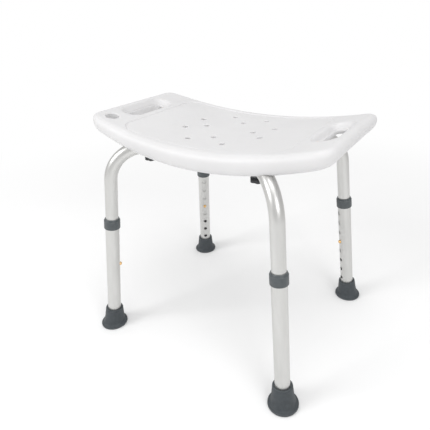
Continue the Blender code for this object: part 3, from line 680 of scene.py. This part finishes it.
# ---- Frame ------------------------------------------------------------------
def build_frame_tube(node, corners):
    half = half_path(corners[0], CROSS_Z[node])
    whole = half + [(-reach, z, math.tau - a, t) for reach, z, a, t in reversed(half[:-1])]
    along, side = level_axes(corners[0])

    def sections(wall):
        rings = []
        for reach, z, a, squash in whole:
            centre, normal = section_at(along, reach, z, a)
            half_w = blend(FRAME_R, FLAT_HALF_W, squash) - wall
            half_h = blend(FRAME_R, FLAT_HALF_H, squash) - wall
            power = blend(1.0, FLAT_BOXINESS, squash)
            rings.append([
                centre
                + side * math.copysign(abs(p.x) ** power, p.x) * half_w
                + normal * math.copysign(abs(p.y) ** power, p.y) * half_h
                for p in circle(1.0, 0.0, TUBE_SIDES, TUBE_TURN)
            ])
        return rings

    tube = loft("bent_" + node, sections(0.0) + sections(FRAME_WALL)[::-1], "loop")
    drill = Matrix.Translation((0, 0, BUTTON_AT)) @ SIDEWAYS @ Matrix.Translation((0, 0, FRAME_DRILL_AT))
    holes = [leg_frame(c) @ drill for c in corners]
    middle_bolt = Matrix.Translation((0, 0, BOLT_DRILL_AT))
    bolts = [bolt_place(c) @ middle_bolt for c in corners] + [middle_bolt]
    carve(tube, [
        cylinders("button_holes", holes, HOLE_R, FRAME_DRILL),
        cylinders("bolt_holes", bolts, BOLT_HOLE_R, BOLT_DRILL),
    ])
    dress(tube, FIXED, node, MATERIALS["frame_aluminium"])


# ---- Seat bolts and knobs ---------------------------------------------------
def build_knob(corner):
    """Six rounded grips below, a plain boss above, and the bore with its pocket for the bolt's head."""

    def lobed(r, z):
        ring = []
        for p in circle(1.0, z, KNOB_SIDES):
            lobe = 1 - LOBE_DEPTH * (1 - math.cos(KNOB_LOBES * math.atan2(p.y, p.x)))
            ring.append(Vector((p.x * r * lobe, p.y * r * lobe, z)))
        return ring

    grip = fillet((KNOB_R - 0.0016, KNOB_BOTTOM), (KNOB_R, KNOB_BOTTOM + 0.0018), 5, False)
    grip += fillet((KNOB_R, KNOB_TOP - 0.0045), (KNOB_R - 0.0014, KNOB_TOP - 0.0031), 4)
    boss = [(0.0100, KNOB_TOP - 0.0024), (0.0096, KNOB_TOP - 0.0004), (0.0092, KNOB_TOP)]
    bore, head_room, shoulder = BOLT_R + GAP, BOLT_HEAD_R + 0.0005, HEAD_TOP + 0.0005
    inside = [(bore, KNOB_TOP), (bore, shoulder), (head_room, shoulder)]
    inside += [(head_room, KNOB_BOTTOM + 0.0004), (head_room + 0.0004, KNOB_BOTTOM)]
    rings = [lobed(r, z) for r, z in grip] + [circle(r, z, KNOB_SIDES) for r, z in boss + inside]
    knob = place(loft("knob_" + corner, rings, "loop", 40), bolt_place(corner))
    dress(knob, "knob_" + corner, "hand_knob_" + corner, MATERIALS["knob_plastic"])


# ---- Legs -------------------------------------------------------------------
def build_lower_leg(corner):
    lip = 0.0004
    profile = fillet((LEG_R, LEG_BOTTOM + lip), (LEG_R - lip, LEG_BOTTOM), 3)[::-1]
    profile += [(LEG_R, blend(LEG_BOTTOM, LEG_TOP, i / 12)) for i in range(1, 12)]
    profile += fillet((LEG_R, LEG_TOP - lip), (LEG_R - lip, LEG_TOP), 3)
    profile += [(LEG_BORE, LEG_TOP)] + [(LEG_BORE, blend(LEG_TOP, LEG_BOTTOM, i / 12)) for i in range(1, 13)]
    leg = place(turned("outer_tube_" + corner, profile, "loop"), leg_frame(corner))
    row = [
        leg_frame(corner) @ Matrix.Translation((LEG_DRILL_AT, 0, BUTTON_AT + k * HOLE_PITCH)) @ SIDEWAYS
        for k in range(-HOLES_BELOW, HOLES_ABOVE + 1)
    ]
    carve(leg, [cylinders("leg_holes", row, HOLE_R, LEG_DRILL)])
    dress(leg, "leg_" + corner, "lower_leg_" + corner, MATERIALS["leg_aluminium"])


def build_collar(corner):
    inner = LEG_R + GAP
    profile = [(inner, COLLAR_BOTTOM)]
    profile += fillet((COLLAR_FOOT_R, COLLAR_BOTTOM), (COLLAR_R, COLLAR_BOTTOM + 0.0010), 4, False)
    profile += fillet((COLLAR_R, COLLAR_TOP - 0.0050), (0.0157, COLLAR_TOP - 0.0041), 4)
    profile += [(0.0143, COLLAR_TOP - 0.0004), (0.0139, COLLAR_TOP)]
    profile += [(LEG_BORE + 0.0002, COLLAR_TOP), (LEG_BORE, COLLAR_TOP - 0.0003)]
    profile += [(LEG_BORE, LEG_TOP + GAP), (inner, LEG_TOP + GAP)]
    collar = place(turned("height_collar_" + corner, profile, "loop", sharp=30), leg_frame(corner))
    dress(collar, "leg_" + corner, "collar_" + corner, MATERIALS["collar_plastic"])


def build_foot(corner):
    """Rubber foot: a stepped flange flat on the floor and a sleeve that follows the leg."""
    matrix = leg_frame(corner)
    to_leg = matrix.inverted()
    azimuth = math.atan2(matrix[1][0], matrix[0][0])

    def ring(r, z, lean):
        level = [to_leg @ (matrix.translation + p) for p in circle(r, z, ROUND, azimuth)]
        return [a.lerp(b, lean) for a, b in zip(level, circle(r, z, ROUND))]

    socket = LEG_R + GAP
    flange = [(FOOT_R - 0.0015, 0.0), (FOOT_R - 0.0006, 0.0004), (FOOT_R, 0.0014), (FOOT_R, 0.0040)]
    flange += fillet((FOOT_R, 0.0040), (FOOT_R - 0.0012, 0.0052), 4)[1:]
    flange += [(0.0262, 0.0054), (0.0257, 0.0060), (0.0252, 0.0068), (0.0246, 0.0073)]
    rings = [ring(r, z, 0) for r, z in flange]
    neck = ((0.0236, 0.0080, 0.08), (0.0229, 0.0092, 0.2), (0.0222, 0.0112, 0.38), (0.0216, 0.0140, 0.62))
    rings += [ring(r, z, lean) for r, z, lean in neck]
    sleeve = [(blend(0.0208, 0.0186, i / 8), blend(0.0190, SLEEVE_TOP - 0.0016, i / 8)) for i in range(9)]
    sleeve += fillet((0.0184, SLEEVE_TOP - 0.0012), (0.0174, SLEEVE_TOP), 4)
    sleeve += [(socket + 0.0004, SLEEVE_TOP), (socket, SLEEVE_TOP - 0.0004), (socket, 0.0064)]
    rings += [ring(r, z, 1) for r, z in sleeve]
    foot = place(loft("foot_" + corner, rings, "ends", 40), matrix)
    dress(foot, "leg_" + corner, "rubber_foot_" + corner, MATERIALS["foot_rubber"])


def build_button(corner):
    dome = fillet((0.0006, 0.0177), (BUTTON_R, 0.0150), 8, False)
    profile = dome + [(BUTTON_R, 0.0098), (0.0044, 0.0097), (0.0046, 0.0095), (0.0046, 0.0088)]
    at = leg_frame(corner) @ Matrix.Translation((0, 0, BUTTON_AT)) @ SIDEWAYS
    button = place(turned("pin_" + corner, profile, n=40, sharp=40), at)
    dress(button, "button_" + corner, "snap_button_" + corner, MATERIALS["button_brass"])


def build_spring(corner):
    """Folded leaf spring, built as one still piece: on the real stool its front arm goes in with the button and
    its back arm stays in the tube.
    """
    corners = [Vector((x, 0, z)) for x, z in SPRING_FOLD]
    path = [corners[0]]
    for a, b, c in zip(corners, corners[1:], corners[2:]):
        before, after = b.lerp(a, 0.3), b.lerp(c, 0.3)
        path += [before.lerp(b, t).lerp(b.lerp(after, t), t) for t in (0.0, 0.25, 0.5, 0.75, 1.0)]
    path.append(corners[-1])
    side = Vector((0, SPRING_HALF_W, 0))
    rings = []
    for i, point in enumerate(path):
        ahead = (path[min(i + 1, len(path) - 1)] - path[max(i - 1, 0)]).normalized()
        out = ahead.cross(side).normalized() * SPRING_THICKNESS / 2
        rings.append([point + out + side, point + out - side, point - out - side, point - out + side])
    at = leg_frame(corner) @ Matrix.Translation((0, 0, BUTTON_AT))
    node = "leaf_spring_" + corner
    spring = place(loft("spring_" + corner, rings, "ends", sharp=30), at)
    spring.data.materials.append(MATERIALS[SLOT_OF[node]])
    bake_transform(spring)
    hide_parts(node)


# ---- Studio -----------------------------------------------------------------
def build_camera():
    cos_p, sin_p = math.cos(CAMERA_PITCH), math.sin(CAMERA_PITCH)
    look = Vector((-math.sin(CAMERA_YAW) * cos_p, math.cos(CAMERA_YAW) * cos_p, -sin_p))
    right = look.cross(Vector((0, 0, 1))).normalized()
    up = right.cross(look)
    c, s = math.cos(CAMERA_ROLL), math.sin(CAMERA_ROLL)
    matrix = Matrix.Translation(CAMERA_AT)
    for column, axis in enumerate((right * c + up * s, up * c - right * s, -look)):
        matrix.col[column][:3] = axis
    data = bpy.data.cameras.new("camera")
    data.lens = CAMERA_LENS
    data.sensor_width = 36
    data.shift_x, data.shift_y = CAMERA_SHIFT
    data.clip_end = 200
    camera = bpy.data.objects.new("camera", data)
    camera.matrix_world = matrix
    bpy.context.scene.collection.objects.link(camera)
    bpy.context.scene.camera = camera


def softbox(name, at, size, power):
    """A square light of the given size and power, turned to LIGHTS_AIM."""
    data = bpy.data.lights.new(name, "AREA")
    data.shape = "SQUARE"
    data.size = size
    data.energy = power
    light = bpy.data.objects.new(name, data)
    light.location = at
    light.rotation_euler = (LIGHTS_AIM - Vector(at)).to_track_quat("-Z", "Y").to_euler()
    bpy.context.scene.collection.objects.link(light)


def floor_paper():
    """Matt paper that, to the camera, blends into the white backdrop away from the stool."""
    paper = Finish("floor_paper", (0.94, 0.94, 0.94), 0.9)
    paper.colour(paper.noise(3, 2), (0.935, 0.935, 0.935), (0.945, 0.945, 0.945))
    nodes, links = paper.mat.node_tree.nodes, paper.mat.node_tree.links
    backdrop = nodes.new("ShaderNodeEmission")
    backdrop.inputs["Strength"].default_value = BACKDROP
    distance = nodes.new("ShaderNodeVectorMath")
    distance.operation = "LENGTH"
    links.new(nodes.new("ShaderNodeNewGeometry").outputs["Position"], distance.inputs[0])
    fade = nodes.new("ShaderNodeMapRange")
    fade.interpolation_type = "SMOOTHSTEP"
    fade.inputs["From Min"].default_value = FADE_FROM
    fade.inputs["From Max"].default_value = FADE_TO
    links.new(distance.outputs["Value"], fade.inputs["Value"])
    for_camera = nodes.new("ShaderNodeMath")
    for_camera.operation = "MULTIPLY"
    links.new(fade.outputs["Result"], for_camera.inputs[0])
    links.new(nodes.new("ShaderNodeLightPath").outputs["Is Camera Ray"], for_camera.inputs[1])
    mix = nodes.new("ShaderNodeMixShader")
    links.new(for_camera.outputs["Value"], mix.inputs["Fac"])
    links.new(nodes["Principled BSDF"].outputs["BSDF"], mix.inputs[1])
    links.new(backdrop.outputs["Emission"], mix.inputs[2])
    links.new(mix.outputs["Shader"], nodes["Material Output"].inputs["Surface"])
    return paper.mat


def build_studio():
    world = bpy.data.worlds.new("studio")
    world.use_nodes = True
    nodes, links = world.node_tree.nodes, world.node_tree.links
    nodes["Background"].inputs["Color"].default_value = (1, 1, 1, 1)
    seen = nodes.new("ShaderNodeLightPath")
    strength = nodes.new("ShaderNodeMapRange")
    strength.inputs["To Min"].default_value = ROOM_LIGHT
    strength.inputs["To Max"].default_value = BACKDROP
    links.new(seen.outputs["Is Camera Ray"], strength.inputs["Value"])
    links.new(strength.outputs["Result"], nodes["Background"].inputs["Strength"])
    bpy.context.scene.world = world

    bm = bmesh.new()
    bmesh.ops.create_grid(bm, x_segments=2, y_segments=2, size=FLOOR_HALF)
    floor = mesh_object("floor", bm)
    floor.location.z = -FLOOR_DROP
    floor.data.materials.append(floor_paper())

    softbox("overhead", (0.3, -0.3, 2.3), 1.5, 12)
    softbox("key_front_left", (-1.5, -1.9, 1.7), 1.1, 24)
    softbox("key_front_right", (1.9, -1.2, 1.5), 1.1, 13)
    bpy.context.scene.view_settings.view_transform = "Standard"


# ---- The stool --------------------------------------------------------------
for node_name, cad in frame["nodes"].items():
    cad.data.materials.clear()
    cad.data.materials.append(MATERIALS[SLOT_OF[node_name]])

build_camera()
build_studio()
build_seat()
for tube_node, end_corners in FRAME_TUBES.items():
    build_frame_tube(tube_node, end_corners)
for corner_name in CORNERS:
    build_knob(corner_name)
    build_lower_leg(corner_name)
    build_collar(corner_name)
    build_foot(corner_name)
    build_button(corner_name)
    build_spring(corner_name)

bpy.context.view_layer.update()
